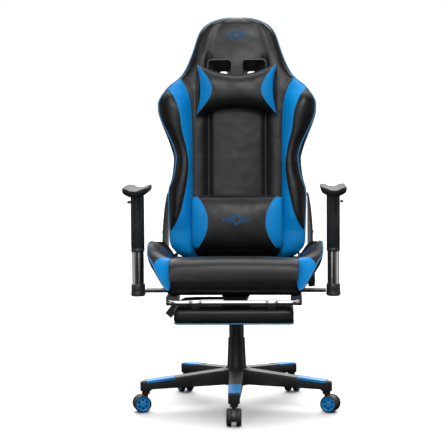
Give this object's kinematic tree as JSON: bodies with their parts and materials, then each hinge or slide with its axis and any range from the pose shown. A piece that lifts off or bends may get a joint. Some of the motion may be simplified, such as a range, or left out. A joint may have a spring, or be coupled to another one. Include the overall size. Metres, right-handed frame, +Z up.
{
  "type": "gaming chair",
  "caption": "Swivel gaming chair with bucket seat, reclining winged back, neck and lumbar pillows, height-adjustable armrests, castor base and slide-out footrest.",
  "frame": {"origin": "on the floor, under the middle of the chair's box; the gas column stands on it", "axes": "+Z up; the chair faces -Y; +X is the sitter's left, on the right in a front view"},
  "size_m": [0.6972, 0.6772, 1.2575],
  "materials": {
    "black_leather": "satin",
    "blue_leather": "satin",
    "black_nylon": "satin",
    "black_steel": "satin",
    "chrome": "polished",
    "blue_plastic": "satin",
    "castor_rubber": "matte"
  },
  "bodies": {
    "base": {"star_base": "black_nylon", "arm_insert_1": "blue_plastic", "arm_insert_2": "blue_plastic", "arm_insert_3": "blue_plastic", "arm_insert_4": "blue_plastic", "arm_insert_5": "blue_plastic", "stand_tube": "black_steel", "cover_lower": "black_nylon"},
    "piston": {"gas_cylinder": "black_steel", "cover_upper": "black_nylon"},
    "housing": {"tilt_housing": "black_steel", "tilt_pin": "black_steel"},
    "knob": {"tension_knob": "black_nylon"},
    "lever": {"lift_lever": "black_steel", "lever_paddle": "black_nylon"},
    "seat": {"seat_plate": "black_steel", "seat_frame": "black_steel", "seat_cushion": "black_leather", "recline_bracket_left": "black_steel", "recline_bracket_right": "black_steel", "arm_bracket_left": "black_steel", "arm_bracket_right": "black_steel", "arm_foot_left": "black_nylon", "arm_foot_right": "black_nylon", "arm_post_left": "chrome", "arm_post_right": "chrome", "footrest_guide_left": "black_nylon", "footrest_guide_right": "black_nylon"},
    "recline_handle": {"recline_lever": "black_nylon"},
    "back": {"back_frame": "black_steel", "back_cushion": "black_leather", "belt_bezel_left": "black_nylon", "belt_bezel_right": "black_nylon", "head_pillow": "black_leather", "pillow_strap": "black_nylon", "hinge_cover_left": "black_nylon", "hinge_cover_right": "black_nylon"},
    "lumbar": {"lumbar_pillow": "black_leather"},
    "arm_left": {"arm_sleeve_left": "black_nylon", "arm_pad_left": "black_leather"},
    "arm_right": {"arm_sleeve_right": "black_nylon", "arm_pad_right": "black_leather"},
    "release_left": {"arm_release_left": "black_nylon"},
    "release_right": {"arm_release_right": "black_nylon"},
    "footrest": {"footrest_rail": "chrome"},
    "flap": {"footrest_board": "black_nylon", "footrest_pad": "black_leather"},
    "caster_1": {"caster_fork_1": "black_nylon"},
    "wheels_1": {"caster_wheels_1": "castor_rubber"},
    "caster_2": {"caster_fork_2": "black_nylon"},
    "wheels_2": {"caster_wheels_2": "castor_rubber"},
    "caster_3": {"caster_fork_3": "black_nylon"},
    "wheels_3": {"caster_wheels_3": "castor_rubber"},
    "caster_4": {"caster_fork_4": "black_nylon"},
    "wheels_4": {"caster_wheels_4": "castor_rubber"},
    "caster_5": {"caster_fork_5": "black_nylon"},
    "wheels_5": {"caster_wheels_5": "castor_rubber"}
  },
  "joints": [
    {"name": "lift", "type": "slide", "parent": "base", "child": "piston", "axis": [0, 0, 1], "range_m": [0, 0.08]},
    {"name": "swivel", "type": "hinge", "parent": "piston", "child": "housing", "pos_m": [0, 0, 0.335], "axis": [0, 0, 1], "continuous": true},
    {"name": "tilt", "type": "hinge", "parent": "housing", "child": "seat", "pos_m": [0, -0.05, 0.366], "axis": [-1, 0, 0], "range_deg": [0, 10], "stiffness_Nm_per_rad": 150, "springref_deg": -20.05},
    {"name": "tension", "type": "hinge", "parent": "housing", "child": "knob", "pos_m": [0, -0.08, 0.335], "axis": [0, 0, 1], "continuous": true},
    {"name": "lift_lever_pull", "type": "hinge", "parent": "housing", "child": "lever", "pos_m": [-0.03, 0.025, 0.346], "axis": [0, 1, 0], "range_deg": [0, 5], "stiffness_Nm_per_rad": 3, "springref_deg": -5.73},
    {"name": "recline", "type": "hinge", "parent": "seat", "child": "back", "pos_m": [0, 0.205, 0.455], "axis": [-1, 0, 0], "range_deg": [0, 65]},
    {"name": "recline_release", "type": "hinge", "parent": "seat", "child": "recline_handle", "pos_m": [0, 0.205, 0.455], "axis": [1, 0, 0], "range_deg": [0, 15], "stiffness_Nm_per_rad": 1.5, "springref_deg": -17.19},
    {"name": "lumbar_height", "type": "slide", "parent": "back", "child": "lumbar", "axis": [0, 0.1305, 0.9914], "range_m": [0, 0.08]},
    {"name": "arm_height_left", "type": "slide", "parent": "seat", "child": "arm_left", "axis": [0, 0, 1], "range_m": [-0.08, 0]},
    {"name": "arm_height_right", "type": "slide", "parent": "seat", "child": "arm_right", "axis": [0, 0, 1], "range_m": [-0.08, 0]},
    {"name": "arm_release_left", "type": "hinge", "parent": "arm_left", "child": "release_left", "pos_m": [-0.3315, -0.064, 0.665], "axis": [0, 1, 0], "range_deg": [0, 12], "stiffness_Nm_per_rad": 0.3, "springref_deg": -17.19},
    {"name": "arm_release_right", "type": "hinge", "parent": "arm_right", "child": "release_right", "pos_m": [0.3315, -0.064, 0.665], "axis": [0, -1, 0], "range_deg": [0, 12], "stiffness_Nm_per_rad": 0.3, "springref_deg": -17.19},
    {"name": "footrest_slide", "type": "slide", "parent": "seat", "child": "footrest", "axis": [0, -1, 0], "range_m": [0, 0.16]},
    {"name": "footrest_flip", "type": "hinge", "parent": "footrest", "child": "flap", "pos_m": [0, -0.272, 0.3705], "axis": [-1, 0, 0], "range_deg": [0, 180]},
    {"name": "caster_swivel_1", "type": "hinge", "parent": "base", "child": "caster_1", "pos_m": [0, -0.3, 0.061], "axis": [0, 0, 1], "continuous": true},
    {"name": "wheel_roll_1", "type": "hinge", "parent": "caster_1", "child": "wheels_1", "pos_m": [0, -0.313, 0.0275], "axis": [1, 0, 0], "continuous": true},
    {"name": "caster_swivel_2", "type": "hinge", "parent": "base", "child": "caster_2", "pos_m": [0.28532, -0.09271, 0.061], "axis": [0, 0, 1], "continuous": true},
    {"name": "wheel_roll_2", "type": "hinge", "parent": "caster_2", "child": "wheels_2", "pos_m": [0.29737, -0.09757, 0.0275], "axis": [0.3746, 0.9272, 0], "continuous": true},
    {"name": "caster_swivel_3", "type": "hinge", "parent": "base", "child": "caster_3", "pos_m": [0.17634, 0.24271, 0.061], "axis": [0, 0, 1], "continuous": true},
    {"name": "wheel_roll_3", "type": "hinge", "parent": "caster_3", "child": "wheels_3", "pos_m": [0.18078, 0.25492, 0.0275], "axis": [-0.9397, 0.342, 0], "continuous": true},
    {"name": "caster_swivel_4", "type": "hinge", "parent": "base", "child": "caster_4", "pos_m": [-0.17634, 0.24271, 0.061], "axis": [0, 0, 1], "continuous": true},
    {"name": "wheel_roll_4", "type": "hinge", "parent": "caster_4", "child": "wheels_4", "pos_m": [-0.18183, 0.25449, 0.0275], "axis": [-0.9063, -0.4226, 0], "continuous": true},
    {"name": "caster_swivel_5", "type": "hinge", "parent": "base", "child": "caster_5", "pos_m": [-0.28532, -0.09271, 0.061], "axis": [0, 0, 1], "continuous": true},
    {"name": "wheel_roll_5", "type": "hinge", "parent": "caster_5", "child": "wheels_5", "pos_m": [-0.29787, -0.09607, 0.0275], "axis": [0.2588, -0.9659, 0], "continuous": true}
  ]
}
